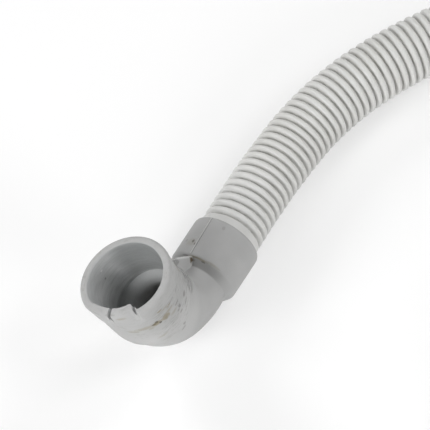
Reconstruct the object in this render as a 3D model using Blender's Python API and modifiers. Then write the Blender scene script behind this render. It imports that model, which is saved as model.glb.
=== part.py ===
"""Drain hose of a dishwasher, lying on the floor with its spare length in a flat coil.

A moulded rubber elbow sits on one end of a corrugated hose and a straight rubber cuff on the other.
The layout is drawn about the centre of the collar's open end, where the hose leaves the elbow:
+Y runs along the hose there, +X to its right and +Z up. The elbow itself is drawn upright, with
its plane of symmetry on YZ, and then leans to the left about the hose.
"""

import math

import bmesh
import bpy
import numpy as np
from mathutils import Matrix, Vector

MM = 0.001

# Hose, in millimetres like every size below
hose_diameter = 24.0
seat_gap = 0.3  # left between two pieces that touch

# Collar of the elbow, which the hose is pushed into
collar_diameter = 27.6
collar_length = 17.1
collar_edge = 1.3
shoulder_length = 4.5
socket_depth = 14.0

# Bend and cuff of the elbow
neck_diameter = 22.9
neck_bore = 17.4
bend_radius = 26.3
bend_angle = 73.0
bend_end_diameter = 31.2
bend_end_bore = 27.0
cuff_step_length = 5.0
cuff_base_diameter = 33.7
cuff_length = 20.6
cuff_angle = 8.0
mouth_diameter = 37.1
mouth_bore = 30.8
mouth_lead_in = 0.4
bore_depth = 21.5
bore_end_diameter = 28.4
elbow_lean = 22.0

# Web in the corner between the cuff and the collar
web_thickness = 2.5
web_tip_distance = 2.0
web_tip_height = 13.1
web_rise = 7.1
web_run = 6.7
web_cuff_bite = 1.5

# Torn place on the rim: two cuts, and the wall beside them pushed in. Angles run clockwise round
# the mouth, seen from outside it, from the elbow's right side
tear_depth = 7.0
cut_depth = 4.0
cut_width = 0.8
left_cut_angle = 84.0
right_cut_angle = 48.0
tear_end_angle = 126.0
push_at_right_cut = 3.0
push_at_left_cut = 2.0

# Straight cuff on the far end of the hose
end_cuff_diameter = 26.0
end_cuff_length = 38.0
end_cuff_bore = 20.6
end_socket_depth = 14.0
end_stop_length = 2.0
end_cuff_edge = 0.8

# Coil: an outer turn, a stretch that steps in, an inner turn, and an end that curls off it
turn_spacing = 24.4
outer_turn_radius = 138.0
coil_centre = (229.1, 70.0)
coil_start_angle = 82.7
outer_turn_sweep = 150.0
step_in_sweep = 180.0
inner_turn_sweep = 142.7
curl_radius = 96.0
curl_sweep = 150.0

# Tie that holds the two turns together
tie_angle = 35.0
tie_width = 3.0
tie_thickness = 0.9
tie_groove_width = 3.8
tie_head_length = 5.0
tie_head_width = 4.4
tie_head_height = 3.6

# Route from the socket to the coil
lead_route = [
    (0.0, -13.7, 13.8),
    (0.0, 0.0, 13.8),
    (-0.3, 13.0, 13.6),
    (-0.4, 27.0, 13.1),
    (0.0, 40.4, 12.5),
    (0.9, 53.4, 12.1),
    (2.9, 66.0, 12.0),
    (6.4, 79.2, 12.0),
    (17.0, 103.8, 12.0),
    (31.2, 126.3, 12.0),
    (48.7, 146.4, 12.0),
    (69.0, 163.6, 12.0),
    (91.5, 178.0, 12.0),
    (115.6, 189.4, 12.0),
    (140.8, 197.9, 12.0),
    (166.9, 203.8, 12.0),
    (193.3, 207.1, 12.0),
    (220.0, 208.3, 12.0),
]

round_sides = 48
past_face = 3.0  # how far a cutter runs past the face that it opens


def collection(name):
    """A new collection in the scene."""
    made = bpy.data.collections.new(name)
    bpy.context.scene.collection.children.link(made)
    return made


def material(name, colour, roughness):
    """A plain finish: a colour and how dull it is."""
    made = bpy.data.materials.new(name)
    made.use_nodes = True
    shader = made.node_tree.nodes["Principled BSDF"]
    shader.inputs["Base Color"].default_value = (*colour, 1.0)
    shader.inputs["Roughness"].default_value = roughness
    shader.inputs["Metallic"].default_value = 0.0
    return made


def place(name, data, home, parent, finish=None):
    """Puts a mesh or a curve in the scene as an object."""
    made = bpy.data.objects.new(name, data)
    home.objects.link(made)
    made.parent = parent
    if home is cutters:
        made.hide_render = True
        made.display_type = "WIRE"
    if finish:
        data.materials.append(finish)
    return made


def swept(name, points, radii, level):
    """A round bar along a line, with its own radius at each point."""
    line = bpy.data.curves.new(name, "CURVE")
    line.dimensions = "3D"
    line.use_fill_caps = True
    line.bevel_depth = MM
    line.bevel_resolution = level
    spline = line.splines.new("POLY")
    spline.points.add(len(points) - 1)
    for point, spot, radius in zip(spline.points, points, radii):
        point.co = (*(Vector(spot) * MM), 1.0)
        point.radius = radius
    return line


def turned(name, profile, steps):
    """A turned piece about Z: its profile is a list of radius and height, from the top down."""
    mesh = bpy.data.meshes.new(name)
    mesh.from_pydata([(r * MM, 0.0, h * MM) for r, h in profile], [(i, i + 1) for i in range(len(profile) - 1)], [])
    made = bpy.data.objects.new(name, mesh)
    screw = made.modifiers.new("turn", "SCREW")
    screw.steps = steps
    screw.render_steps = steps
    screw.use_merge_vertices = True
    screw.merge_threshold = 0.00001
    return made


def outline(name, loops, thickness):
    """A flat piece in XY of one outline, with any further outlines as its holes."""
    shape = bpy.data.curves.new(name, "CURVE")
    shape.dimensions = "2D"
    shape.fill_mode = "BOTH"
    shape.extrude = thickness / 2 * MM
    for loop in loops:
        spline = shape.splines.new("POLY")
        spline.points.add(len(loop) - 1)
        for point, (x, y) in zip(spline.points, loop):
            point.co = (x * MM, y * MM, 0.0, 1.0)
        spline.use_cyclic_u = True
    return shape


def evaluated_mesh(thing):
    """The mesh of an object as its modifiers leave it, with its loose caps welded."""
    bpy.context.view_layer.update()
    graph = bpy.context.evaluated_depsgraph_get()
    mesh = bpy.data.meshes.new_from_object(thing.evaluated_get(graph))
    work = bmesh.new()
    work.from_mesh(mesh)
    bmesh.ops.remove_doubles(work, verts=work.verts, dist=0.000001)
    bmesh.ops.recalc_face_normals(work, faces=work.faces)
    work.to_mesh(mesh)
    work.free()
    return mesh


def made_solid(name, data_or_object, home, parent, matrix=None):
    """Turns a curve, or an object with modifiers, into a mesh object in its parent's frame."""
    source = data_or_object
    if not isinstance(source, bpy.types.Object):
        source = bpy.data.objects.new(name + "_source", source)
    bpy.context.scene.collection.objects.link(source)
    mesh = evaluated_mesh(source)
    bpy.data.objects.remove(source)
    if matrix is not None:
        mesh.transform(matrix)
    mesh.name = name
    return place(name, mesh, home, parent)


def boolean(thing, other, operation):
    """Joins another solid to a piece, or cuts it out of the piece."""
    step = thing.modifiers.new(other.name, "BOOLEAN")
    step.operation = operation
    step.object = other
    step.solver = "EXACT"


def smooth_line(points, spacing):
    """Even points along a smooth curve through the given ones, as a natural cubic spline."""
    knots = np.array(points, float)
    span = np.linalg.norm(np.diff(knots, axis=0), axis=1)
    at = np.concatenate([[0.0], np.cumsum(span)])
    count = len(knots)
    system = np.eye(count)
    right = np.zeros_like(knots)
    for i in range(1, count - 1):
        system[i, i - 1 : i + 2] = span[i - 1], 2 * (span[i - 1] + span[i]), span[i]
        rise = np.diff(knots[i - 1 : i + 2], axis=0) / span[i - 1 : i + 1, None]
        right[i] = 6 * (rise[1] - rise[0])
    bend = np.linalg.solve(system, right)
    fine = []
    for i in range(count - 1):
        for share in np.linspace(0, 1, 40, endpoint=False):
            a, b = 1 - share, share
            cubic = (a**3 - a) * bend[i] + (b**3 - b) * bend[i + 1]
            fine.append(a * knots[i] + b * knots[i + 1] + cubic * span[i] ** 2 / 6)
    fine = np.array(fine + [knots[-1]])
    run = np.concatenate([[0.0], np.cumsum(np.linalg.norm(np.diff(fine, axis=0), axis=1))])
    steps = np.linspace(0, run[-1], max(2, round(run[-1] / spacing) + 1))
    return [tuple(np.interp(s, run, fine[:, k]) for k in range(3)) for s in steps]


# Elbow


def elbow_station(distance):
    """Place (y, z) and turn, in radians, of the elbow's centreline behind the collar's open end."""
    straight = collar_length + shoulder_length
    bend = math.radians(bend_angle)
    cuff_radius = cuff_length / math.radians(cuff_angle)
    turn = min(max((distance - straight) / bend_radius, 0.0), bend)
    y = -min(distance, straight) - bend_radius * math.sin(turn)
    z = bend_radius * (1 - math.cos(turn))
    further = distance - straight - bend_radius * bend
    if further > 0:
        end = bend + min(further, cuff_length) / cuff_radius
        y -= cuff_radius * (math.sin(end) - math.sin(bend))
        z += cuff_radius * (math.cos(bend) - math.cos(end))
        beyond = max(further - cuff_length, 0.0)
        y -= beyond * math.cos(end)
        z += beyond * math.sin(end)
        turn = end
    return y, z, turn


bend_start = collar_length + shoulder_length
bend_end = bend_start + bend_radius * math.radians(bend_angle)
mouth_distance = bend_end + cuff_length


def elbow_radius(distance):
    """Outer radius: it widens steadily round the bend, steps out to the cuff and flares to the mouth."""
    if distance >= bend_end:
        share = min((distance - bend_end) / cuff_length, 1.0)
        return (cuff_base_diameter + share * (mouth_diameter - cuff_base_diameter)) / 2
    share = max(distance - bend_start, 0.0) / (bend_end - bend_start)
    widened = neck_diameter + share * (bend_end_diameter - neck_diameter)
    step = max(1 - (bend_end - distance) / cuff_step_length, 0.0)
    step = step * step * (3 - 2 * step)
    return (widened + step * (cuff_base_diameter - bend_end_diameter)) / 2


def along_elbow(distances):
    """Points of the elbow's centreline."""
    return [(0.0, *elbow_station(d)[:2]) for d in distances]


def build_elbow(frame):
    """The rubber elbow, one moulding: collar, widening bend, cuff and web, hollow right through."""
    rows = [bend_start - past_face] + list(np.linspace(bend_start, bend_end - cuff_step_length, 11))
    rows += list(np.linspace(bend_end - cuff_step_length, bend_end, 5)[1:])
    rows += list(np.linspace(bend_end, mouth_distance - tear_depth, 5)[1:])
    rows += [mouth_distance - tear_depth * share for share in (0.75, 0.5, 0.3, 0.15, 0.0)]
    level = round_sides // 2 - 2
    tube = swept("elbow_tube", along_elbow(rows), [elbow_radius(d) for d in rows], level)
    body = made_solid("elbow_body", tube, cutters, frame)

    boolean(body, build_collar(frame), "UNION")
    boolean(body, build_web(frame), "UNION")

    deepest = mouth_distance - bore_depth
    bore_rows = [deepest] + [mouth_distance - tear_depth * s for s in (1.5, 1.0, 0.6, 0.3)]
    bore_radii = [
        (bore_end_diameter + (d - deepest) / bore_depth * (mouth_bore - bore_end_diameter)) / 2
        for d in bore_rows
    ]
    lead_rows = [mouth_distance - 2 * mouth_lead_in, mouth_distance, mouth_distance + past_face]
    lead_radii = [mouth_bore / 2, mouth_bore / 2 + mouth_lead_in, mouth_bore / 2 + mouth_lead_in]
    bore = swept("bore", along_elbow(bore_rows + lead_rows), bore_radii + lead_radii, level)
    boolean(body, made_solid("bore", bore, cutters, frame), "DIFFERENCE")

    passage_rows = [socket_depth - 1.0] + list(np.linspace(bend_start - 1.0, deepest + 1.0, 12))
    passage_radii = [
        (neck_bore + max(d - bend_start, 0.0) / (deepest - bend_start) * (bend_end_bore - neck_bore)) / 2
        for d in passage_rows
    ]
    passage = swept("passage", along_elbow(passage_rows), passage_radii, level)
    boolean(body, made_solid("passage", passage, cutters, frame), "DIFFERENCE")

    socket_radius = hose_diameter / 2 + seat_gap
    socket_line = [(0.0, -socket_depth, 0.0), (0.0, past_face, 0.0)]
    socket = swept("socket", socket_line, [socket_radius] * 2, level)
    boolean(body, made_solid("socket", socket, cutters, frame), "DIFFERENCE")

    for cut_name, angle in (("left_cut", left_cut_angle), ("right_cut", right_cut_angle)):
        boolean(body, build_cut(cut_name, angle, frame), "DIFFERENCE")

    mesh = evaluated_mesh(body)
    push_torn_rim(mesh)
    mesh.name = "elbow_connector"
    mesh.shade_smooth()
    mesh.set_sharp_from_angle(angle=math.radians(35))
    place("elbow_connector", mesh, pieces, frame, elbow_rubber)


def build_collar(frame):
    """The collar as a solid turned piece, rounded at its open end and rounded in to the neck."""
    radius = collar_diameter / 2
    foot = neck_diameter / 2 - 0.9
    profile = [(0.0, 0.0)]
    for degrees in range(0, 91, 30):
        turn = math.radians(degrees)
        profile.append((radius - collar_edge * (1 - math.sin(turn)), -collar_edge * (1 - math.cos(turn))))
    for degrees in range(0, 91, 18):
        turn = math.radians(degrees)
        profile.append(
            (foot + (radius - foot) * math.cos(turn), -collar_length - shoulder_length * math.sin(turn))
        )
    profile.append((0.0, -collar_length - shoulder_length))
    lie_down = Matrix.Rotation(math.radians(-90), 4, "X")
    return made_solid("collar", turned("collar", profile, round_sides), cutters, frame, lie_down)


def build_web(frame):
    """The web on the plane of symmetry, from the cuff's wall down to the collar's shoulder."""
    tip = (-collar_length - web_tip_distance, web_tip_height)
    top = (tip[0] - web_run, tip[1] + web_rise)
    inside = (top[0] - web_cuff_bite, top[1] + web_cuff_bite * web_rise / web_run)
    sunk = neck_diameter / 2 - web_cuff_bite
    loop = [inside, (inside[0], sunk), (tip[0], sunk), tip]
    stand_up = Matrix.Rotation(math.radians(90), 4, "Z") @ Matrix.Rotation(math.radians(90), 4, "X")
    return made_solid("web", outline("web", [loop], web_thickness), cutters, frame, stand_up)


def mouth_frame():
    """The mouth's own frame: origin on the rim plane, Z out of the mouth, X to the elbow's right."""
    y, z, turn = elbow_station(mouth_distance)
    out = Vector((0.0, -math.cos(turn), math.sin(turn)))
    across = Vector((1.0, 0.0, 0.0))
    axes = Matrix((across, out.cross(across), out)).transposed().to_4x4()
    axes.translation = Vector((0.0, y, z))
    return axes


def build_cut(name, angle, frame):
    """A narrow radial cut through the cuff's wall, down from the rim."""
    reach = mouth_diameter / 2 - bore_end_diameter / 2 + 4.0
    middle = (mouth_diameter + bore_end_diameter) / 4
    turn = -math.radians(angle)
    spot = Vector((middle * math.cos(turn), middle * math.sin(turn), (1.0 - cut_depth) / 2)) * MM
    size = Matrix.Diagonal((reach * MM, cut_width * MM, (1.0 + cut_depth) * MM, 1.0))
    frame_of_mouth = mouth_frame()
    frame_of_mouth.translation *= MM
    matrix = frame_of_mouth @ Matrix.Translation(spot) @ Matrix.Rotation(turn, 4, "Z") @ size
    mesh = bpy.data.meshes.new(name)
    work = bmesh.new()
    bmesh.ops.create_cube(work, size=1.0, matrix=matrix)
    work.to_mesh(mesh)
    work.free()
    return place(name, mesh, cutters, frame)


def push_in(angle):
    """How far the rim is pushed in at an angle round the mouth, in degrees."""
    if right_cut_angle < angle < left_cut_angle:
        share = (angle - right_cut_angle) / (left_cut_angle - right_cut_angle)
        return push_at_right_cut + share * (push_at_left_cut - push_at_right_cut)
    if left_cut_angle <= angle < tear_end_angle:
        return push_at_left_cut * (tear_end_angle - angle) / (tear_end_angle - left_cut_angle)
    return 0.0


def push_torn_rim(mesh):
    """Bends the wall beside the cuts inwards, most at the rim and not at all below the tear."""
    axes = mouth_frame()
    back = axes.inverted()
    for vertex in mesh.vertices:
        local = back @ (vertex.co / MM)
        depth = -local.z
        radius = math.hypot(local.x, local.y)
        if not -0.5 < depth < tear_depth or not 12.0 < radius < mouth_diameter / 2 + 1.0:
            continue
        angle = -math.degrees(math.atan2(local.y, local.x))
        moved = radius - push_in(angle) * (1 - max(depth, 0.0) / tear_depth) ** 1.5
        local.x *= moved / radius
        local.y *= moved / radius
        vertex.co = (axes @ local) * MM


# Hose and coil


def coil_radius(sweep):
    """Distance of the hose from the coil's centre, after it has gone round by an angle in degrees."""
    share = min(max((sweep - outer_turn_sweep) / step_in_sweep, 0.0), 1.0)
    return outer_turn_radius - turn_spacing * share * share * (3 - 2 * share)


def coil_route():
    """The hose round the coil, clockwise from above, with a point every few degrees."""
    spots = []
    laps = outer_turn_sweep + step_in_sweep + inner_turn_sweep
    for sweep in np.linspace(0, laps, round(laps / 12)):
        angle = math.radians(coil_start_angle - sweep)
        radius = coil_radius(sweep)
        spots.append((coil_centre[0] + radius * math.cos(angle), coil_centre[1] + radius * math.sin(angle)))
    angle = math.radians(coil_start_angle - laps)
    inner = outer_turn_radius - turn_spacing
    hub_x = coil_centre[0] + (inner - curl_radius) * math.cos(angle)
    hub_y = coil_centre[1] + (inner - curl_radius) * math.sin(angle)
    curl = round(curl_sweep / 6)
    for sweep in np.linspace(0, curl_sweep, curl)[1:]:
        turn = angle - math.radians(sweep)
        spots.append((hub_x + curl_radius * math.cos(turn), hub_y + curl_radius * math.sin(turn)))
    x, y = spots[-1]
    heading = angle - math.radians(curl_sweep + 90)
    for further in (end_socket_depth * 0.6, end_socket_depth * 1.2):
        spots.append((x + further * math.cos(heading), y + further * math.sin(heading)))
    low = hose_diameter / 2
    lift = end_cuff_diameter / 2 - low
    route = []
    for i, (x, y) in enumerate(spots):
        share = min(max((i + 3 + curl - len(spots)) / curl, 0.0), 1.0)
        route.append((x, y, low + lift * share * share * (3 - 2 * share)))
    return route, heading


def clear_of_coil(spot, ahead):
    """Whether both edges of the hose, as it heads from one spot to the next, are clear of the coil."""
    heading = math.atan2(ahead[1] - spot[1], ahead[0] - spot[0])
    edges = []
    for side in (-hose_diameter / 2, hose_diameter / 2):
        x = spot[0] - side * math.sin(heading) - coil_centre[0]
        y = spot[1] + side * math.cos(heading) - coil_centre[1]
        edges.append(math.hypot(x, y))
    outside = outer_turn_radius + hose_diameter / 2 + seat_gap
    inside = outer_turn_radius - turn_spacing - hose_diameter / 2 - seat_gap
    return min(edges) > outside or max(edges) < inside


def build_hose(frame):
    """The hose as plain bars, from the collar to the coil and from the coil to the far cuff."""
    wound, heading = coil_route()
    line = smooth_line(lead_route + wound, 0.5)
    clear = [clear_of_coil(spot, ahead) for spot, ahead in zip(line, line[1:])]
    out_at = clear.index(False)
    in_at = len(clear) - clear[::-1].index(False)
    run = smooth_line(line[:out_at], 1.2 * hose_diameter)
    tail = smooth_line(line[in_at:], 0.4 * hose_diameter)
    for name, points in (("hose_run", run), ("hose_tail", tail)):
        bar = swept(name, points, [hose_diameter / 2] * len(points), level=3)
        place(name, bar, pieces, frame, hose_plastic)
    return line[-1], heading


def build_coil(frame):
    """The coil as one turned ring, two hoses wide, with a groove where the tie goes round it."""
    radius = hose_diameter / 2
    inner = outer_turn_radius - turn_spacing
    profile = []
    for middle, start in ((outer_turn_radius, 90), (inner, -90)):
        for degrees in range(0, 181, 36):
            turn = math.radians(start - degrees)
            profile.append((middle + radius * math.cos(turn), radius + radius * math.sin(turn)))
    profile.append(profile[0])
    ring = made_solid("ring", turned("ring", profile, 72), cutters, frame, in_coil(0.0, 0.0, 0.0))
    boolean(ring, tie_band("tie_groove", tie_groove_width, -0.6, tie_thickness + seat_gap * 2, frame), "DIFFERENCE")
    mesh = evaluated_mesh(ring)
    mesh.name = "hose_coil"
    mesh.shade_smooth()
    mesh.set_sharp_from_angle(angle=math.radians(40))
    place("hose_coil", mesh, pieces, frame, hose_plastic)


def in_coil(radius, angle, height):
    """A matrix that puts a piece on the coil, its X outwards, at an angle in degrees."""
    spot = Vector((coil_centre[0], coil_centre[1], height)) * MM
    turn = Matrix.Rotation(math.radians(angle), 4, "Z")
    return Matrix.Translation(spot) @ turn @ Matrix.Translation(Vector((radius * MM, 0.0, 0.0)))


def band_loop(inset):
    """The outline of the coil's section, drawn in by an inset: two half circles and two flats."""
    radius = hose_diameter / 2 - inset
    loop = []
    for side, start in ((turn_spacing / 2, 90), (-turn_spacing / 2, -90)):
        for degrees in range(0, 181, 20):
            turn = math.radians(start - degrees)
            loop.append((side + radius * math.cos(turn), radius * math.sin(turn)))
    return loop


def tie_band(name, width, outside, inside, frame):
    """A flat band round both turns, between two insets of their section."""
    shape = outline(name, [band_loop(outside), band_loop(inside)], width)
    middle = outer_turn_radius - turn_spacing / 2
    matrix = in_coil(middle, tie_angle, hose_diameter / 2) @ Matrix.Rotation(math.radians(90), 4, "X")
    return made_solid(name, shape, cutters, frame, matrix)


def build_tie(frame):
    """The tie: a thin band that sits in the hose's ribs, with its square lock on top."""
    band = tie_band("tie_band", tie_width, seat_gap, seat_gap + tie_thickness, frame)
    lock = ("lock", tie_head_length, tie_head_width, hose_diameter + seat_gap, tie_head_height)
    neck_bottom = hose_diameter - seat_gap - tie_thickness / 2
    neck = ("lock_neck", tie_head_length - 1.0, tie_width - 0.5, neck_bottom, tie_head_height / 2)
    for name, length, width, bottom, height in (neck, lock):
        mesh = bpy.data.meshes.new(name)
        work = bmesh.new()
        size = Matrix.Diagonal((length * MM, width * MM, height * MM, 1.0))
        spot = in_coil(outer_turn_radius - turn_spacing / 2, tie_angle, bottom + height / 2)
        bmesh.ops.create_cube(work, size=1.0, matrix=spot @ size)
        work.to_mesh(mesh)
        work.free()
        boolean(band, place(name, mesh, cutters, frame), "UNION")
    mesh = evaluated_mesh(band)
    mesh.name = "coil_tie"
    place("coil_tie", mesh, pieces, frame, tie_nylon)


def build_end_cuff(end, heading, frame):
    """The straight cuff on the hose's far end: a socket for the hose, a stop, and a bore."""
    radius = end_cuff_diameter / 2
    bore = end_cuff_bore / 2
    socket = hose_diameter / 2 + seat_gap
    length = end_cuff_length
    stop = end_socket_depth + end_stop_length
    edge = end_cuff_edge
    lip = min(edge, (radius - socket) / 2)
    profile = [
        (bore, length),
        (radius - edge, length),
        (radius, length - edge),
        (radius, lip),
        (radius - lip, 0.0),
        (socket, 0.0),
        (socket, end_socket_depth),
        (bore - 1.2, end_socket_depth),
        (bore - 1.2, stop),
        (bore, stop),
        (bore, length),
    ]
    flat = Vector((math.cos(heading), math.sin(heading), 0.0))
    along = flat.to_track_quat("Z", "Y").to_matrix().to_4x4()
    start = Vector((end[0], end[1], end_cuff_diameter / 2)) - flat * (end_socket_depth - seat_gap)
    matrix = Matrix.Translation(start * MM) @ along
    cuff = made_solid("end_cuff", turned("end_cuff", profile, 40), pieces, frame, matrix)
    cuff.data.shade_smooth()
    cuff.data.set_sharp_from_angle(angle=math.radians(35))
    cuff.data.materials.append(cuff_rubber)


for thing in list(bpy.data.objects):
    bpy.data.objects.remove(thing)

pieces = collection("dishwasher_drain_hose")
cutters = collection("cutters")
elbow_rubber = material("elbow rubber", (0.39, 0.39, 0.38), 0.55)
hose_plastic = material("hose plastic", (0.66, 0.65, 0.61), 0.4)
cuff_rubber = material("end cuff rubber", (0.36, 0.36, 0.35), 0.55)
tie_nylon = material("tie nylon", (0.75, 0.74, 0.7), 0.4)

layout = bpy.data.objects.new("layout", None)
pieces.objects.link(layout)
lean = bpy.data.objects.new("lean", None)
pieces.objects.link(lean)
lean.parent = layout
lean.location = (0.0, 0.0, collar_diameter / 2 * MM)
lean.rotation_euler = (0.0, -math.radians(elbow_lean), 0.0)

build_elbow(lean)
hose_end, hose_heading = build_hose(layout)
build_coil(layout)
build_tie(layout)
build_end_cuff(hose_end, hose_heading, layout)

bpy.context.view_layer.update()
elbow = bpy.data.objects["elbow_connector"]
corners = [elbow.matrix_world @ vertex.co for vertex in elbow.data.vertices]
lowest = Vector([min(c[k] for c in corners) for k in range(3)])
highest = Vector([max(c[k] for c in corners) for k in range(3)])
layout.location = (-(lowest.x + highest.x) / 2, -(lowest.y + highest.y) / 2, 0.0)
bpy.context.view_layer.update()
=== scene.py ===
"""Looks of a dishwasher drain hose: a moulded rubber elbow on a corrugated hose, its spare length coiled.

Sizes are in millimetres and are turned to metres by MM where they are used.
"""

import math

import bpy
import numpy as np
from mathutils import Matrix, Vector


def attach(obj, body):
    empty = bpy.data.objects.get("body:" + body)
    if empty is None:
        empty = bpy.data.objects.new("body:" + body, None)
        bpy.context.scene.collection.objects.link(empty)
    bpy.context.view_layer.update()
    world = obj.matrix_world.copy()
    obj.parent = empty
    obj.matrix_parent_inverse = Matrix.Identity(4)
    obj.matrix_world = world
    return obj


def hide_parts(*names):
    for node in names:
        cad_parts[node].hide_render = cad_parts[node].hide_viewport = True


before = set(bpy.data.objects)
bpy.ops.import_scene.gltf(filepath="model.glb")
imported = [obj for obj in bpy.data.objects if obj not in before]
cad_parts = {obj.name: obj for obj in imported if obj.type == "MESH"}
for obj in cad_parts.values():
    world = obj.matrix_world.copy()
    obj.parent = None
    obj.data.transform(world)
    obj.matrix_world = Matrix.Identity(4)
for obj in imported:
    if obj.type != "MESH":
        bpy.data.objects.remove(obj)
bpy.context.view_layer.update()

MM = 0.001
bpy.ops.object.select_all(action="DESELECT")

# Camera
# A long lens looks down at the elbow from the front left, so that the hose leaves at the top right.
# It is placed by the middle of the collar, whose pixel in the photograph is known.

photo_width = 430
pixels_per_mm = 2.646
camera_height_angle = math.radians(60.2)
camera_turn = math.radians(29.88)
camera_distance = 6000.0
collar_middle = Vector((8.942, 25.137, 13.8))
collar_middle_pixel = (214.9, 257.9)

view_right = Vector((math.cos(camera_turn), math.sin(camera_turn), 0.0))
view_ahead = Vector((-math.sin(camera_turn), math.cos(camera_turn), 0.0))
view_up = view_ahead * math.sin(camera_height_angle) + Vector((0, 0, math.cos(camera_height_angle)))
view_forward = view_right.cross(view_up) * -1
looked_at = collar_middle + view_right * (photo_width / 2 - collar_middle_pixel[0]) / pixels_per_mm
looked_at -= view_up * (photo_width / 2 - collar_middle_pixel[1]) / pixels_per_mm

lens = bpy.data.cameras.new("camera")
lens.sensor_width = 36.0
lens.lens = pixels_per_mm * camera_distance * lens.sensor_width / photo_width
lens.clip_end = 20.0
camera = bpy.data.objects.new("camera", lens)
bpy.context.scene.collection.objects.link(camera)
stand = Matrix((view_right, view_up, -view_forward)).transposed().to_4x4()
stand.translation = (looked_at - view_forward * camera_distance) * MM
camera.matrix_world = stand
bpy.context.scene.camera = camera

# Corrugated hose
# Blow-moulded polypropylene, warm white, with a ring of rib every few millimetres and a smooth band
# at each end. It leaves the elbow along +Y, lies on the floor and goes into a flat coil of two turns.

hose_exit = Vector((8.942, 34.137, 13.8))
below_exit = Vector((hose_exit.x, hose_exit.y, 0.0))
route_diameter = 24.0
hose_diameter = 24.5
rib_pitch = 3.43
groove_depth = 1.8
smooth_band = 17.6
hose_bore_radius = 9.6
hose_edge_radius = 11.6
hose_bore_depth = 6.0
fine_ribs = 34
hose_sides = 32

coil_centre = (229.1, 70.0)
coil_start = 82.7
coil_sweep = 472.7
outer_turn = 138.0
outer_turn_sweep = 150.0
step_in_sweep = 180.0
turn_spacing = 24.4
curl_radius = 96.0
curl_sweep = 150.0
straight_end = 16.8
lying_height = 12.0
curl_rise = 1.0
rising_points = 25
level_points = 3

tie_angle = 35.0
tie_dent_depth = 1.4
tie_dent_half_width = 1.6
under_tie = (95.0, 150.0)

# The route up to the coil, counted from the floor below the collar's open end.
lead = [
    (0.0, -13.7, 13.8),
    (0.0, 0.0, 13.8),
    (-0.3, 13.0, 13.6),
    (-0.4, 27.0, 13.1),
    (0.0, 40.4, 12.5),
    (0.9, 53.4, 12.1),
    (2.9, 66.0, 12.0),
    (6.4, 79.2, 12.0),
    (17.0, 103.8, 12.0),
    (31.2, 126.3, 12.0),
    (48.7, 146.4, 12.0),
    (69.0, 163.6, 12.0),
    (91.5, 178.0, 12.0),
    (115.6, 189.4, 12.0),
    (140.8, 197.9, 12.0),
    (166.9, 203.8, 12.0),
    (193.3, 207.1, 12.0),
    (220.0, 208.3, 12.0),
]


def eased(share):
    """A share kept between 0 and 1, which starts and ends gently."""
    share = min(max(share, 0.0), 1.0)
    return share * share * (3 - 2 * share)


def on_circle(centre, radius, angle):
    """A point on a circle about a centre, seen from above."""
    return centre[0] + radius * math.cos(angle), centre[1] + radius * math.sin(angle)


def coil_points():
    """The hose's points round the coil, clockwise from above, then on a curl inside it to the far end."""
    spots = []
    for sweep in np.linspace(0, coil_sweep, 39):
        radius = outer_turn - turn_spacing * eased((sweep - outer_turn_sweep) / step_in_sweep)
        spots.append(on_circle(coil_centre, radius, math.radians(coil_start - sweep)))
    start = math.radians(coil_start - coil_sweep)
    hub = on_circle(coil_centre, outer_turn - turn_spacing - curl_radius, start)
    for sweep in np.linspace(0, curl_sweep, 25)[1:]:
        spots.append(on_circle(hub, curl_radius, start - math.radians(sweep)))
    end_x, end_y = spots[-1]
    spots += [(end_x, end_y + straight_end / 2), (end_x, end_y + straight_end)]
    first_rising = len(spots) - level_points - rising_points
    lifted = []
    for i, (x, y) in enumerate(spots):
        lifted.append((x, y, lying_height + curl_rise * eased((i - first_rising) / rising_points)))
    return lifted


def smooth_line(points, steps=30):
    """A natural cubic spline through points, as fine points with their distance along it."""
    knots = np.array(points, float)
    span = np.linalg.norm(np.diff(knots, axis=0), axis=1)
    system = np.eye(len(knots))
    right = np.zeros_like(knots)
    for i in range(1, len(knots) - 1):
        system[i, i - 1 : i + 2] = span[i - 1], 2 * (span[i - 1] + span[i]), span[i]
        rise = np.diff(knots[i - 1 : i + 2], axis=0) / span[i - 1 : i + 1, None]
        right[i] = 6 * (rise[1] - rise[0])
    bend = np.linalg.solve(system, right)
    fine = []
    for i in range(len(knots) - 1):
        for b in np.linspace(0, 1, steps, endpoint=False):
            a = 1 - b
            cubic = (a**3 - a) * bend[i] + (b**3 - b) * bend[i + 1]
            fine.append(a * knots[i] + b * knots[i + 1] + cubic * span[i] ** 2 / 6)
    fine = np.array(fine + [knots[-1]])
    run = np.concatenate([[0.0], np.cumsum(np.linalg.norm(np.diff(fine, axis=0), axis=1))])
    return fine + np.array(below_exit) + np.array([0.0, 0.0, (hose_diameter - route_diameter) / 2]), run


hose_line, hose_run = smooth_line(lead + coil_points())
hose_length = hose_run[-1]


def hose_at(distance):
    """Point of the hose's centreline at a distance from its end in the elbow."""
    return Vector([np.interp(distance, hose_run, hose_line[:, k]) for k in range(3)])


# One rib from groove to groove: the share of its pitch, and the share of the groove's depth there. The
# first ribs are fine, and the rest of the hose has plainer ones with fewer rings.
fine_rib = [(0.0, 1.0), (0.07, 0.93), (0.13, 0.62), (0.19, 0.34), (0.28, 0.13), (0.38, 0.03), (0.5, 0.0)]
fine_rib += [(1 - share, depth) for share, depth in reversed(fine_rib[1:-1])]
plain_rib = [(0.0, 0.9), (0.16, 0.3), (0.32, 0.0), (0.68, 0.0), (0.84, 0.3)]
crest = hose_diameter / 2
band = crest - 0.1

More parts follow.
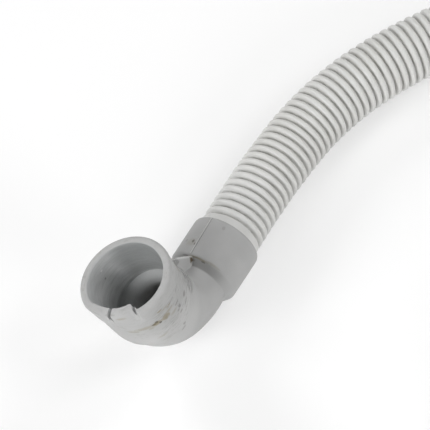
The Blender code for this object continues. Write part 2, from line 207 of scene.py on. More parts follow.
# The hose's surface as rings, each a distance along it and a radius: out of the bore, round the edge, along
# the smooth band, over the ribs, and the same at the far end.
rings = [(hose_bore_depth, hose_bore_radius), (0.0, hose_bore_radius), (0.0, hose_edge_radius)]
rings += [(0.4, band), (smooth_band - 1.0, band)]
rib_count = round((hose_length - 2 * smooth_band) / rib_pitch)
rib_length = (hose_length - 2 * smooth_band) / rib_count
for rib in range(rib_count):
    for share, depth in fine_rib if rib < fine_ribs else plain_rib:
        rings.append((smooth_band + (rib + share) * rib_length, crest - groove_depth * depth))
rings += [(hose_length - smooth_band + 0.8, band), (hose_length - 0.4, band)]
rings += [(hose_length, hose_edge_radius), (hose_length, hose_bore_radius)]
rings.append((hose_length - hose_bore_depth, hose_bore_radius))

vertices = []
groove_shares = []
for distance, radius in rings:
    centre = hose_at(distance)
    ahead = (hose_at(distance + 1.0) - hose_at(distance - 1.0)).normalized()
    side = ahead.cross(Vector((0, 0, 1))).normalized()
    above = side.cross(ahead)
    # The tie pinches the hose a little where it goes round the coil's two turns.
    from_coil = centre - below_exit - Vector((*coil_centre, 0.0))
    off_tie = math.degrees(math.atan2(from_coil.y, from_coil.x)) - tie_angle
    on_turns = under_tie[0] < math.hypot(from_coil.x, from_coil.y) < under_tie[1]
    if on_turns and abs(off_tie) < tie_dent_half_width:
        radius -= tie_dent_depth * (1 - (off_tie / tie_dent_half_width) ** 2) ** 0.5
    groove_shares += [min(max((crest - radius) / groove_depth, 0.0), 1.0)] * hose_sides
    for k in range(hose_sides):
        turn = 2 * math.pi * k / hose_sides
        vertices.append((centre + (side * math.cos(turn) + above * math.sin(turn)) * radius) * MM)
faces = []
for i in range(len(rings) - 1):
    for k in range(hose_sides):
        after = (k + 1) % hose_sides
        low, high = i * hose_sides, (i + 1) * hose_sides
        faces.append((low + k, high + k, high + after, low + after))
# Each bore is closed at its depth, so that the piece is a closed solid.
faces.append(list(range(hose_sides)))
faces.append([(len(rings) - 1) * hose_sides + k for k in reversed(range(hose_sides))])
mesh = bpy.data.meshes.new("corrugated_hose")
mesh.from_pydata(vertices, [], faces)
mesh.shade_smooth()
in_groove = mesh.attributes.new("in_groove", "FLOAT", "POINT")
in_groove.data.foreach_set("value", groove_shares)
corrugated_hose = bpy.data.objects.new("corrugated_hose", mesh)
bpy.context.scene.collection.objects.link(corrugated_hose)


def face_outwards(piece):
    """Turns all faces of a closed piece outwards."""
    bpy.context.view_layer.objects.active = piece
    piece.select_set(True)
    bpy.ops.object.mode_set(mode="EDIT")
    bpy.ops.mesh.select_all(action="SELECT")
    bpy.ops.mesh.normals_make_consistent(inside=False)
    bpy.ops.object.mode_set(mode="OBJECT")
    piece.select_set(False)


face_outwards(corrugated_hose)


class Socket:
    """A socket of a shader node, so that shader maths reads as plain expressions."""

    def __init__(self, tree, socket):
        self.tree = tree
        self.socket = socket

    def node(self, kind, settings=None, **inputs):
        """A new node of a kind, with its settings first and then its inputs, by name or by number."""
        made = self.tree.nodes.new(kind)
        for name, value in (settings or {}).items():
            setattr(made, name, value)
        for name, value in inputs.items():
            slot = made.inputs[int(name[1:]) if name[1:].isdigit() else name.replace("_", " ")]
            if isinstance(value, Socket):
                self.tree.links.new(value.socket, slot)
            else:
                slot.default_value = value
        return Socket(self.tree, made.outputs[0])

    def math(self, operation, first, second=0.0):
        """A Math node."""
        return self.node("ShaderNodeMath", {"operation": operation}, i0=first, i1=second)

    def __add__(self, other):
        return self.math("ADD", self, other)

    def __sub__(self, other):
        return self.math("SUBTRACT", self, other)

    def __rsub__(self, other):
        return self.math("SUBTRACT", other, self)

    def __mul__(self, other):
        return self.math("MULTIPLY", self, other)

    def __truediv__(self, other):
        return self.math("DIVIDE", self, other)

    def __pow__(self, other):
        return self.math("POWER", self, other)

    __radd__ = __add__
    __rmul__ = __mul__

    def sine(self):
        """The sine of this, in radians."""
        return self.math("SINE", self)

    def out(self, name):
        """Another output of the same node, by its name or its number."""
        return Socket(self.tree, self.socket.node.outputs[name])

    def between(self, low, high):
        """0 below low, 1 above high and a smooth step between; low may be the higher of the two."""
        settings = {"interpolation_type": "SMOOTHSTEP"}
        return self.node("ShaderNodeMapRange", settings, Value=self, From_Min=low, From_Max=high)

    def noise(self, scale, detail=2.0, rough=0.5):
        """Noise at this vector, 0 to 1, with its scale per millimetre."""
        return self.node(
            "ShaderNodeTexNoise", Vector=self, Scale=scale / MM, Detail=detail, Roughness=rough
        )

    def mixed(self, first, second):
        """One colour where this is 0 and another where it is 1."""
        settings = {"data_type": "RGBA", "blend_type": "MIX"}
        pair = [colour if isinstance(colour, Socket) else (*colour, 1.0) for colour in (first, second)]
        return self.node("ShaderNodeMix", settings, i0=self, i6=pair[0], i7=pair[1]).out(2)


def new_material(name, roughness):
    """A material, its shader and its place as a vector socket."""
    made = bpy.data.materials.new(name)
    made.use_nodes = True
    shader = made.node_tree.nodes["Principled BSDF"]
    shader.inputs["Roughness"].default_value = roughness
    place = Socket(made.node_tree, None).node("ShaderNodeTexCoord").out("Object")
    return made, shader, place


def join(value, shader, name):
    """Links a value to an input of the shader or of the material's output."""
    value.tree.links.new(value.socket, shader.inputs[name])


def join_bump(height, shader):
    """Links a height in millimetres to the shader's normal."""
    join(height.node("ShaderNodeBump", Height=height * MM, Strength=1.0, Distance=1.0), shader, "Normal")


hose_white, shader, place = new_material("hose white", 0.42)
cloud = place.noise(0.03, 3.0).between(0.3, 0.75)
groove = place.node("ShaderNodeAttribute", {"attribute_name": "in_groove"}).out("Fac")
dirt = place.noise(0.25, 4.0, 0.6).between(0.35, 0.7)
scuff = place.noise(0.8, 3.0, 0.7).between(0.6, 0.75)
groove_dirt = groove**1.8 * (0.2 + dirt * 0.32)
white = cloud.mixed((0.63, 0.628, 0.606), (0.68, 0.68, 0.667))
white = (scuff * 0.12).mixed(white, (0.45, 0.44, 0.4))
white = groove_dirt.mixed(white, (0.2, 0.195, 0.165))
join(white, shader, "Base Color")
join(0.4 + groove * 0.2 + scuff * 0.1, shader, "Roughness")
join_bump(place.noise(1.2, 3.0, 0.6) * 0.04, shader)
corrugated_hose.data.materials.append(hose_white)
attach(corrugated_hose, "root")
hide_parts("hose_run", "hose_coil", "hose_tail")

path = [tuple(hose_at(distance) * MM) for distance in np.arange(0.0, hose_length, 6.0)]
path.append(tuple(hose_at(hose_length) * MM))

# Elbow
# One moulding of light grey rubber: a collar round the hose, a bend that widens, and a cuff with a
# round mouth. It is drawn straight along Z, circle by circle, and then bent on a curve.

elbow_lean = math.radians(-22.0)
elbow_place = Matrix.Translation(hose_exit * MM) @ Matrix.Rotation(elbow_lean, 4, "Y")
collar_radius = 13.8
neck_radius = 11.47
rim_radius = 18.75
mouth_bore_radius = 15.6
neck_bore_radius = 8.8
hose_seat_radius = 12.35
bend_start = 21.6
bend_radius = 26.3
bend_turn = math.radians(73.0)
cuff_turn = math.radians(8.0)
cuff_length = 21.0
bend_end = bend_start + bend_radius * bend_turn
mouth_at = bend_end + cuff_length


def elbow_station(distance):
    """Place (y, z) and turn of the elbow's centreline behind the collar's open end."""
    turn = min(max((distance - bend_start) / bend_radius, 0.0), bend_turn)
    y = -min(distance, bend_start) - bend_radius * math.sin(turn)
    z = bend_radius * (1 - math.cos(turn))
    further = distance - bend_end
    if further > 0:
        radius = cuff_length / cuff_turn
        turn = bend_turn + further / radius
        y -= radius * (math.sin(turn) - math.sin(bend_turn))
        z += radius * (math.cos(bend_turn) - math.cos(turn))
    return y, z, turn


def between_stations(rows, start, end, radii, step):
    """Adds rows from one distance to another, their radius on straight lines through the given shares."""
    shares, sizes = zip(*radii)
    for share in np.linspace(0, 1, round(abs(end - start) / step) + 1)[1:]:
        rows.append((start + share * (end - start), float(np.interp(share, shares, sizes))))


# Outside, from the collar's open end round its edge, over its shoulder and along the neck.
rows = [(0.6, hose_seat_radius), (0.1, 12.5), (0.0, 12.8), (0.1, 13.2), (0.4, 13.55), (0.9, 13.75)]
rows.append((1.6, collar_radius))
between_stations(rows, 1.6, 15.9, [(0, collar_radius), (1, collar_radius)], 1.3)
rows += [(16.8, collar_radius), (17.5, 13.79), (18.0, 13.74), (18.35, 13.6), (18.8, 13.32), (19.4, 12.9)]
rows += [(20.0, 12.46), (20.6, 12.04), (21.1, 11.72), (21.5, 11.5), (bend_start, neck_radius)]
rows.append((bend_start + 0.3, neck_radius))

# The bend widens slowly and then steps up to the cuff, which flares to its rim.
widening = [(0, neck_radius), (0.3, 12.57), (0.6, 14.07), (0.84, 14.95), (0.88, 15.2), (0.92, 15.75)]
widening += [(0.96, 16.4), (1, 16.8)]
between_stations(rows, bend_start + 0.3, bend_end, widening, 1.1)
between_stations(rows, bend_end, mouth_at - 9.0, [(0, 16.84), (1, 18.0)], 1.1)
between_stations(rows, mouth_at - 9.0, mouth_at - 2.0, [(0, 18.0), (1, rim_radius)], 0.6)
rim = ((1.4, rim_radius), (0.9, 18.66), (0.5, 18.45), (0.2, 18.1), (0.05, 17.6))
rim += ((0.0, 17.0), (0.0, 16.3), (0.03, 15.95), (0.2, 15.72), (0.6, mouth_bore_radius))
rows += [(mouth_at - depth, radius) for depth, radius in rim]

# Inside, from the mouth to the ledge where the bore narrows, through the bend and out at the hose's seat.
mouth_bore = [(0, mouth_bore_radius), (0.1, 15.5), (1, 15.0)]
between_stations(rows, mouth_at - 0.6, mouth_at - 9.0, mouth_bore, 0.6)
between_stations(rows, mouth_at - 9.0, mouth_at - 24.0, [(0, 15.0), (1, 14.2)], 1.2)
ledge = ((24.1, 13.7), (24.3, 13.1), (24.8, 12.4), (25.6, 11.5), (26.9, 10.7), (28.5, 10.0), (30.5, 9.5))
rows += [(mouth_at - depth, radius) for depth, radius in ledge]
between_stations(rows, mouth_at - 30.5, bend_start, [(0, 9.5), (0.3, 9.0), (1, neck_bore_radius)], 1.4)
rows += [(18.0, 8.7), (14.6, 8.7), (14.1, 9.0), (14.0, 9.4), (14.0, 12.0), (13.8, 12.3)]
rows += [(distance, hose_seat_radius) for distance in (13.2, 9.0, 4.0)]

bpy.ops.mesh.primitive_circle_add(vertices=144, radius=rows[0][1] * MM, location=(0, 0, rows[0][0] * MM))
elbow = bpy.context.object
elbow.name = "rubber_elbow"
bpy.ops.object.transform_apply(location=True, rotation=True, scale=True)
bpy.ops.object.mode_set(mode="EDIT")
bpy.ops.mesh.select_all(action="SELECT")
for (before, narrow), (after, wide) in zip(rows, rows[1:]):
    rise = {"value": (0, 0, (after - before) * MM)}
    bpy.ops.mesh.extrude_region_move(TRANSFORM_OT_translate=rise)
    grow = wide / narrow
    bpy.ops.transform.resize(value=(grow, grow, 1), center_override=(0, 0, after * MM))
bpy.ops.object.mode_set(mode="OBJECT")


def in_row(vertex, row):
    """Whether a vertex of the straight elbow is on a row's circle."""
    distance, radius = row
    return abs(vertex.co.z - distance * MM) < 1e-6 and abs(vertex.co.xy.length - radius * MM) < 1e-6


for vertex in elbow.data.vertices:
    vertex.select = in_row(vertex, rows[0]) or in_row(vertex, rows[-1])
for edge in elbow.data.edges:
    edge.select = all(elbow.data.vertices[v].select for v in edge.vertices)
bpy.ops.object.mode_set(mode="EDIT")
bpy.ops.mesh.bridge_edge_loops()
bpy.ops.object.mode_set(mode="OBJECT")

# The saddle is a shallow dip in the cuff on the side away from the web. On the web's side the bend is
# filled out below the cuff's step, on its outer wall alone. The turns here are in degrees.
saddle_depth = 1.7
saddle_turn = 42.0
saddle_middle = mouth_at - 9.5
saddle_reach = 9.0
fill_height = 2.7
fill_turn = 83.0
fill_middle = 44.0
fill_reach = 8.0
fill_start_fade = 6.0
fill_end_fade = 3.0
bore_widens_at = 49.6
for vertex in elbow.data.vertices:
    distance = vertex.co.z / MM
    beside = math.degrees(math.atan2(vertex.co.x, -vertex.co.y)) / saddle_turn
    sink = saddle_depth * math.exp(-beside * beside - ((distance - saddle_middle) / saddle_reach) ** 2)
    fill = 0.0
    wall_from = 14.4 if distance > bore_widens_at else 11.4
    if vertex.co.xy.length > wall_from * MM and distance < bend_end:
        beside = math.degrees(math.atan2(vertex.co.x, vertex.co.y)) / fill_turn
        fill = fill_height * math.exp(-beside * beside - ((distance - fill_middle) / fill_reach) ** 2)
        fill *= min((bend_end - distance) / fill_end_fade, 1.0)
        fill *= min(max((distance - bend_start) / fill_start_fade, 0.0), 1.0)
    vertex.co.xy *= 1 + (fill - sink) * MM / vertex.co.xy.length
    y, z, turn = elbow_station(distance)
    up = Vector((0.0, math.sin(turn), math.cos(turn)))
    vertex.co = Vector((vertex.co.x, y * MM, z * MM)) + up * vertex.co.y
face_outwards(elbow)


def boolean(piece, other, operation):
    """Joins a solid to a piece or cuts it out, applies that and removes the solid."""
    step = piece.modifiers.new("boolean", "BOOLEAN")
    step.operation = operation
    step.object = other
    step.solver = "EXACT"
    bpy.context.view_layer.objects.active = piece
    bpy.ops.object.modifier_apply(modifier=step.name)
    bpy.data.objects.remove(other)


# Web
# A thin wall of the same moulding in the corner between the cuff and the collar, on the elbow's plane
# of symmetry. Its foot is wider than its top edge and runs into both tubes.

web_outline = [(-18.9, 13.1), (-25.8, 20.2), (-31.9, 25.6), (-28.6, 9.5), (-18.9, 9.5)]
web_half_widths = (0.8, 0.85, 0.9, 2.4, 1.9)
web_edge = 0.42
bpy.ops.mesh.primitive_circle_add(vertices=len(web_outline), radius=MM, fill_type="NGON")
web = bpy.context.object
for vertex, (y, z) in zip(web.data.vertices, web_outline):
    vertex.co = Vector((-1.0, y, z)) * MM
bpy.ops.object.mode_set(mode="EDIT")
bpy.ops.mesh.select_all(action="SELECT")
bpy.ops.mesh.extrude_region_move(TRANSFORM_OT_translate={"value": (2.0 * MM, 0, 0)})
bpy.ops.object.mode_set(mode="OBJECT")
face_outwards(web)
for vertex in web.data.vertices:
    corners = range(len(web_outline))
    corner = min(corners, key=lambda i: (vertex.co.yz / MM - Vector(web_outline[i])).length)
    vertex.co.x = math.copysign(web_half_widths[corner] * MM, vertex.co.x)
rounded = web.modifiers.new("rounded", "BEVEL")
rounded.width = web_edge * MM
rounded.segments = 3
bpy.ops.object.modifier_apply(modifier=rounded.name)
boolean(elbow, web, "UNION")

# Torn rim
# The rim has split in two places at the mouth, and the rubber between and beside the splits is bent
# inwards. The left split is a wedge with a thin crack below it, and the right one is a short wedge.

y, z, turn = elbow_station(mouth_at)
out = Vector((0.0, -math.cos(turn), math.sin(turn)))
across = Vector((1.0, 0.0, 0.0))
mouth = Matrix((across, out.cross(across), out)).transposed().to_4x4()
mouth.translation = Vector((0.0, y, z)) * MM

# Each cut through the wall: the turns of its two sides at the rim, the same at its foot, and its depth.
tear_cuts = (
    ((83.8, 90.6), (85.9, 86.7), 3.0),
    ((85.8, 86.8), (82.0, 82.3), 4.3),
    ((43.5, 50.5), (46.2, 46.9), 1.7),
)
cut_from = 12.6
cut_to = 21.0
cut_above = 0.6
for (top_low, top_high), (foot_low, foot_high), depth in tear_cuts:
    bpy.ops.mesh.primitive_cube_add(size=2 * MM)
    cut = bpy.context.object
    for vertex in cut.data.vertices:
        if vertex.co.z > 0:
            angle = top_high if vertex.co.y > 0 else top_low
        else:
            angle = foot_high if vertex.co.y > 0 else foot_low
        reach = cut_to if vertex.co.x > 0 else cut_from
        height = cut_above if vertex.co.z > 0 else -depth
        turn = math.radians(-angle)
        vertex.co = Vector((reach * math.cos(turn), reach * math.sin(turn), height)) * MM
    face_outwards(cut)
    cut.data.transform(mouth)
    boolean(elbow, cut, "DIFFERENCE")


def straightened(spot):
    """A point of the bent elbow as it is on the straight form: across, towards the web, and along."""
    x, y, z = spot.x / MM, spot.y / MM, spot.z / MM
    if y > -bend_start:
        return x, z, -y
    turn = math.atan2(-bend_start - y, bend_radius - z)
    if 0 <= turn < bend_turn:
        off_line = bend_radius - math.hypot(-bend_start - y, bend_radius - z)
        return x, off_line, bend_start + bend_radius * turn
    radius = cuff_length / cuff_turn
    end_y, end_z, end_turn = elbow_station(bend_end)
    hub_y = end_y + radius * math.sin(end_turn)
    hub_z = end_z + radius * math.cos(end_turn)
    turn = math.atan2(hub_y - y, hub_z - z)
    off_line = radius - math.hypot(hub_y - y, hub_z - z)
    return x, off_line, bend_end + radius * (turn - bend_turn)


straight = elbow.data.attributes.new("straight", "FLOAT_VECTOR", "POINT")
for vertex, kept in zip(elbow.data.vertices, straight.data):
    kept.vector = Vector(straightened(vertex.co)) * MM

# How far the rim is bent inwards at each turn round the mouth, and how far down that reaches. Its outer
# part also tilts down a little.
push_turns = (30.0, 43.4, 43.9, 51.0, 55.0, 68.0, 85.0, 100.0, 114.0, 126.5)
push_sizes = (0.0, 0.0, 1.5, 3.9, 3.9, 3.1, 2.3, 1.9, 1.2, 0.0)
push_reach = 7.5
rim_tilt = 0.25
rim_tilt_reach = 3.0
rim_inner = 15.0
rim_wall = 3.5
for vertex in elbow.data.vertices:
    local = mouth.inverted() @ vertex.co / MM
    depth = -local.z
    radius = math.hypot(local.x, local.y)
    if depth > push_reach or not 12.0 < radius < 20.0:
        continue
    angle = -math.degrees(math.atan2(local.y, local.x))
    push = float(np.interp(angle, push_turns, push_sizes))
    moved = radius - push * (1 - max(depth, 0.0) / push_reach) ** 1.4
    tilt = rim_tilt * push * max(0.0, (radius - rim_inner) / rim_wall)
    local.z -= tilt * max(0.0, 1 - depth / rim_tilt_reach)
    local.x *= moved / radius
    local.y *= moved / radius
    vertex.co = mouth @ (local * MM)

elbow.data.transform(elbow_place)
elbow.select_set(True)
bpy.context.view_layer.objects.active = elbow
bpy.ops.object.shade_smooth_by_angle(angle=math.radians(40))
elbow.select_set(False)

# The elbow's material reads where each point was on the straight form, in millimetres: across it, towards
# the web, and along it from the collar's open end. The turn round it is in degrees from the web.
mm_per_metre = 1000.0
elbow_grey, shader, place = new_material("elbow grey", 0.6)
kept_place = place.node("ShaderNodeAttribute", {"attribute_name": "straight"}).out("Vector")
split = kept_place.node("ShaderNodeSeparateXYZ", Vector=kept_place)
across, to_web, along = split * mm_per_metre, split.out("Y") * mm_per_metre, split.out("Z") * mm_per_metre
from_axis = (across * across + to_web * to_web) ** 0.5
around = across.math("ARCTAN2", across, to_web) * math.degrees(1)

# A pattern read at this place is drawn out round the elbow, as marks from twisting it on a stub are.
ring_place = along.node(
    "ShaderNodeCombineXYZ", i0=along * MM, i1=around * (0.05 * MM), i2=from_axis * (0.3 * MM)
)

# The radius of the middle of the wall parts the outside from the bore.
wall_middle = along.between(47.0, 52.5) * 4.5 + along.between(54.0, 76.0) * 1.3 + 10.5
outside = (from_axis - wall_middle).between(-0.3, 0.3)
inside = (1.0 - outside) * along.between(45.0, 50.0)
outside_cuff = outside * along.between(46.0, 54.0)


def away(value, middle, reach):
    """How far a value is from the middle, squared, as a share of the reach."""
    off = (value - middle) / reach
    return off * off


def turned_away(middle, reach):
    """The same for the turn round the elbow, which starts again at half a turn."""
    turned = around - (middle - 180.0)
    off = (turned.math("FLOORED_MODULO", turned, 360.0) - 180.0) / reach
    return off * off


wander = (place.noise(0.9, 4.0, 0.65) - 0.5) * 2.4


def mark(middle_along, middle_around, long, wide, edge=0.5):
    """A stain, speck or painted shadow with a ragged edge, 1 in its middle and 0 outside it, its sizes in
    mm and degrees.
    """
    far = away(along, middle_along, long) + turned_away(middle_around, wide)
    return (far + wander).between(1.0 + edge, 1.0 - edge)


def both(first, second):
    """The stronger of two masks."""
    return first.math("MAXIMUM", first, second)


# Brown stains, and dark specks with one painted shadow, each with its middle along and round, its reach
# both ways and strength.
brown = mark(64.8, 110.0, 1.5, 6.5, 0.6) * 0.66
for middle_along, middle_around, long, wide, strength in (
    (65.3, 124.5, 1.1, 6.0, 0.85),
    (65.0, 117.0, 0.8, 8.0, 0.5),
    (65.6, 140.0, 1.0, 15.0, 0.42),
    (64.6, 158.0, 0.7, 9.0, 0.35),
    (56.3, 130.0, 0.6, 8.0, 0.32),
    (68.2, 99.0, 0.6, 4.0, 0.4),
    (69.3, 105.5, 0.5, 6.0, 0.35),
    (70.3, 112.0, 0.5, 3.5, 0.6),
    (64.2, 134.0, 0.6, 4.0, 0.4),
    (66.0, 104.0, 0.7, 9.0, 0.42),
    (62.5, 99.0, 0.7, 6.0, 0.35),
    (18.8, 15.0, 0.35, 17.0, 0.55),
    (18.4, 42.0, 0.4, 12.0, 0.3),
    (74.0, 160.0, 0.5, 7.0, 0.35),
    (64.0, 36.0, 3.5, 7.0, 0.3),
    (13.0, -14.0, 1.6, 9.0, 0.22),
):
    brown = both(brown, mark(middle_along, middle_around, long, wide, 0.9) * strength)
dark_specks_and_shadow = mark(66.0, 123.3, 0.65, 2.3) * 0.66
for middle_along, middle_around, long, wide, strength in (
    (64.4, 119.8, 0.65, 1.9, 0.8),
    (65.6, 127.4, 0.5, 3.6, 0.5),
    (12.4, -10.6, 0.8, 2.3, 0.62),
    (13.5, -4.6, 0.6, 1.7, 0.55),
    (12.2, -27.0, 0.7, 2.5, 0.25),
    (3.0, 23.7, 0.8, 2.5, 0.2),
    # A painted shadow in the crevice behind the web's top edge.
    (19.0, -9.0, 0.3, 9.0, 0.4),
    (19.3, 25.5, 0.22, 3.5, 0.5),
    (18.8, 10.0, 0.2, 8.0, 0.25),
    (57.2, 75.0, 0.4, 5.0, 0.3),
    (63.8, 88.0, 0.4, 5.0, 0.35),
    (68.3, 75.0, 0.35, 6.0, 0.22),
    (68.4, 93.0, 0.35, 6.0, 0.25),
    (58.0, 91.3, 0.5, 3.0, 0.35),
    (50.5, 101.6, 0.7, 2.5, 0.35),
    (49.3, 108.0, 0.4, 5.0, 0.3),
    (60.9, 88.4, 0.8, 2.6, 0.45),
    (60.2, 93.0, 0.6, 2.6, 0.35),
    (59.8, 70.0, 0.7, 5.0, 0.5),
    (75.2, -159.0, 0.2, 8.0, 0.22),
    (66.4, -84.0, 0.4, 1.6, 0.5),
):
    dark_specks_and_shadow = both(dark_specks_and_shadow, mark(middle_along, middle_around, long, wide) * strength)
web_spot = mark(21.0, 5.0, 1.5, 7.0, 0.9) * to_web.between(12.0, 12.5)
pale = mark(70.7, -80.0, 0.35, 2.2) * 0.7

# Long scratches on the cuff's right side, grime in patches, painted shade in the corner behind the collar
# and on the bore's ledge.
right_side = turned_away(74.0, 74.0).between(1.0, 0.1)
streaks = ring_place.noise(1.7, 4.0, 0.62).between(0.5, 0.7) * outside_cuff * right_side
streaks = streaks * away(along, 61.0, 12.0).between(1.2, 0.3)
grime_patches = place.noise(0.13, 2.0).between(0.4, 0.62) * outside_cuff
grime = ring_place.noise(1.3, 5.0, 0.75).between(0.47, 0.66) * grime_patches
corner_painted_shade = away(along, 20.4, 1.9).between(1.0, 0.3) * turned_away(10.0, 80.0).between(1.0, 0.0)
on_ledge = inside * along.between(56.5, 53.0) * along.between(50.0, 51.5)
ledge_shade = on_ledge * turned_away(-105.0, 45.0).between(1.0, 0.2)

# The bare rubber: clouded, with painted light on the bend's right side.
cloud = place.noise(0.1, 3.0).between(0.3, 0.7)
speckle = place.noise(1.6, 3.0, 0.7).between(0.6, 0.72)
grey = cloud.mixed((0.393, 0.393, 0.39), (0.425, 0.425, 0.422))
painted_light_bend = away(along, 51.0, 10.0).between(1.2, 0.2) * turned_away(110.0, 60.0).between(1.2, 0.2)
# Painted light on the outside of the bend's right side.
grey = (outside * painted_light_bend * 0.8).mixed(grey, (0.49, 0.49, 0.485))

# The bore: painted lighter all over, with painted light on one side of its wall and painted shade on the
# other, and bands run round it.
in_bore = inside * along.between(76.05, 75.7)
on_wall = in_bore * along.between(53.6, 54.6)
# Painted light over the whole bore.
grey = (in_bore * 0.9).mixed(grey, (0.48, 0.49, 0.49))
# Painted light on the wall a quarter turn from the web, deeper in the bore.
painted_light_wall = on_wall * turned_away(-88.0, 45.0).between(1.2, 0.3) * along.between(71.0, 63.0)
grey = (painted_light_wall * 0.9).mixed(grey, (0.69, 0.7, 0.7))
# Painted shade on the wall near the web's side, stronger towards the mouth.
painted_shade_wall = on_wall * turned_away(-12.0, 48.0).between(1.2, 0.3)
grey = (painted_shade_wall * (along.between(58.0, 72.0) * 0.45 + 0.4)).mixed(grey, (0.28, 0.29, 0.29))
bands = ring_place.noise(0.8, 4.0, 0.6).between(0.36, 0.64)
grey = (on_wall * bands * 0.24).mixed(grey, (0.2, 0.205, 0.205))

# Dirt and stains over all of it, with painted shade in the corner behind the collar and on the bore's
# ledge.
grey = (speckle * 0.12).mixed(grey, (0.25, 0.25, 0.24))
grey = (streaks * 0.52).mixed(grey, (0.17, 0.172, 0.165))
grey = (grime * 0.46).mixed(grey, (0.22, 0.215, 0.195))
# Painted shade in the corner behind the collar.
grey = (corner_painted_shade * 0.36).mixed(grey, (0.17, 0.17, 0.162))
grey = (ledge_shade * 0.18).mixed(grey, (0.15, 0.15, 0.15))
grey = (brown * 0.8).mixed(grey, (0.205, 0.16, 0.055))
grey = web_spot.mixed(grey, (0.085, 0.06, 0.03))
grey = dark_specks_and_shadow.mixed(grey, (0.06, 0.05, 0.035))
grey = pale.mixed(grey, (0.7, 0.7, 0.69))

# Fine creases fan out over the cuff from the foot of the web, with painted shade in their valleys and a
# painted highlight on their ridges.
fan = along - around * 0.17 + place.noise(0.3, 2.0) * 2.4
near_foot = outside * away(fan, 44.5, 6.0).between(1.1, 0.4) * turned_away(24.0, 40.0).between(1.1, 0.3)
creases = (fan * 2.7).sine() * 0.5 + 0.5
# Painted shade in the creases' valleys, then a painted highlight on their ridges.
grey = ((1.0 - creases) * near_foot * 0.22).mixed(grey, (0.17, 0.17, 0.165))
creases = creases**2.0 * near_foot
grey = (creases * 0.6).mixed(grey, (0.57, 0.57, 0.56))

# The mould's seam runs along the top of the collar, with a painted highlight on it and painted shade beside
# it. The web's top edge has a painted highlight.
seam_off = around + 4.7 - along * 0.2
on_collar = along.between(18.4, 17.6) * along.between(0.3, 1.0)
seam = away(seam_off, -0.6, 1.3).between(1.0, 0.3) * on_collar
seam_shade = away(seam_off, 1.5, 0.8).between(1.0, 0.2) * on_collar
web_top_highlight = away(across, 0.0, 0.9).between(1.1, 0.7) * to_web.between(12.6, 12.9)
web_top_highlight = web_top_highlight * along.between(18.6, 19.2) * along.between(48.0, 46.0)
# Painted highlight on the seam and on the web's top edge.
grey = both(seam * 0.9, web_top_highlight * 0.7).mixed(grey, (0.6, 0.6, 0.59))
join((seam_shade * 0.5).mixed(grey, (0.17, 0.17, 0.165)), shader, "Base Color")
join(0.56 + cloud * 0.1 + brown * 0.2, shader, "Roughness")

ripple = (along * 1.9 + place.noise(0.05, 1.0) * 5.0).sine()
mould_rings = ripple * inside * ring_place.noise(0.25, 1.0).between(0.4, 0.65)
height = seam * 0.2 - seam_shade * 0.1 + creases * 0.5 + mould_rings * 0.03
height = height + place.noise(2.2, 4.0, 0.6) * 0.06 + ring_place.noise(2.6, 3.0) * 0.1 * outside_cuff
join_bump(height - dark_specks_and_shadow * 0.1, shader)
elbow.data.materials.clear()
elbow.data.materials.append(elbow_grey)
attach(elbow, "root")
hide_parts("elbow_connector")

# End cuff and tie
# The straight rubber cuff is moulded like the elbow and bonded to the hose's far end. The nylon tie holds
# the coil's two turns together. Both keep their solid shape and get their own finish.


def dress(node, material):
    """Gives a node of the frame its material."""
    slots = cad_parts[node].data.materials
    slots.clear()
    slots.append(material)


cuff_grey, shader, place = new_material("cuff grey", 0.62)
cloud = place.noise(0.12, 4.0).between(0.3, 0.7)
scuff = place.noise(0.7, 5.0, 0.7).between(0.58, 0.74)
grey = cloud.mixed((0.35, 0.35, 0.345), (0.395, 0.395, 0.39))
grey = (scuff * 0.22).mixed(grey, (0.2, 0.195, 0.18))
join(grey, shader, "Base Color")
join(0.56 + cloud * 0.1 + scuff * 0.1, shader, "Roughness")
along_cuff = place.node("ShaderNodeSeparateXYZ", Vector=place).out("Y") * mm_per_metre
turning_marks = (along_cuff * 3.1).sine()
join_bump(turning_marks * 0.02 + place.noise(1.8, 4.0, 0.6) * 0.08, shader)
dress("end_cuff", cuff_grey)

tie_white, shader, place = new_material("tie white", 0.36)
cloud = place.noise(0.3, 3.0).between(0.3, 0.7)
join(cloud.mixed((0.7, 0.69, 0.645), (0.77, 0.765, 0.73)), shader, "Base Color")
join(0.3 + cloud * 0.14, shader, "Roughness")
join_bump(place.noise(2.0, 2.0, 0.5) * 0.03, shader)
dress("coil_tie", tie_white)

# Floor and light
# A white floor, which the camera sees whiter than it is lit while the shadow on it stays, and six soft
# lamps round the elbow, the strongest two from the left.

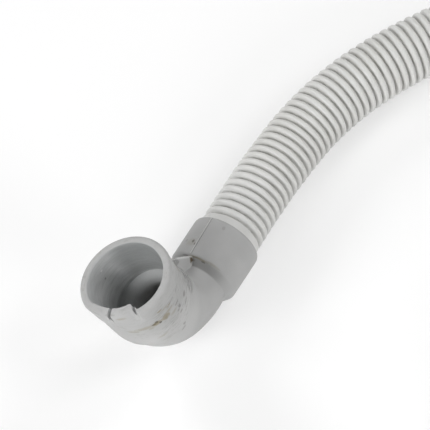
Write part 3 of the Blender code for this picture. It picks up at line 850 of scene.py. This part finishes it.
floor_size = 6.0
floor_gap = 0.0002
seen_whiter = 0.45
bpy.ops.mesh.primitive_plane_add(size=floor_size, location=(0, 0, -floor_gap))
floor = bpy.context.object
floor.name = "floor"
floor_white, shader, place = new_material("floor white", 0.9)
shader.inputs["Base Color"].default_value = (0.95, 0.95, 0.95, 1.0)
shader.inputs["Specular IOR Level"].default_value = 0.0
lit_floor = Socket(floor_white.node_tree, shader.outputs[0])
seen = place.node("ShaderNodeLightPath").out("Is Camera Ray") * seen_whiter
glow = place.node("ShaderNodeEmission")
seen_floor = place.node("ShaderNodeMixShader", i0=seen, i1=lit_floor, i2=glow)
join(seen_floor, floor_white.node_tree.nodes["Material Output"], "Surface")
floor.data.materials.append(floor_white)

lamp_size = 0.6
lamp_distance = 1.6
lit_point = Vector((0, 0, 0.02))


def lamp(name, turn, height, power):
    """A square soft lamp aimed at the elbow, by its turn from the picture's right and its height."""
    light = bpy.data.lights.new(name, "AREA")
    light.size = lamp_size
    light.energy = power
    made = bpy.data.objects.new(name, light)
    bpy.context.scene.collection.objects.link(made)
    turn, height = math.radians(turn), math.radians(height)
    flat = view_right * math.cos(turn) + view_ahead * math.sin(turn)
    way = (flat * math.cos(height) + Vector((0, 0, math.sin(height)))).normalized()
    stand = Matrix.Translation(lit_point + way * lamp_distance)
    made.matrix_world = stand @ way.to_track_quat("Z", "Y").to_matrix().to_4x4()


lamp("key lamp", 220.0, 36.0, 12.3)
lamp("low front lamp", 245.0, 22.0, 7.3)
lamp("front right lamp", 315.0, 26.0, 6.7)
lamp("right lamp", 0.0, 50.0, 6.0)
lamp("back right lamp", 45.0, 36.0, 6.9)
lamp("back left lamp", 139.0, 33.0, 10.4)

world = bpy.data.worlds.new("surround")
bpy.context.scene.world = world
world.use_nodes = True
world.node_tree.nodes["Background"].inputs["Color"].default_value = (1.0, 1.0, 1.0, 1.0)
world.node_tree.nodes["Background"].inputs["Strength"].default_value = 0.03

bpy.context.scene.view_settings.view_transform = "Standard"
bpy.context.view_layer.update()
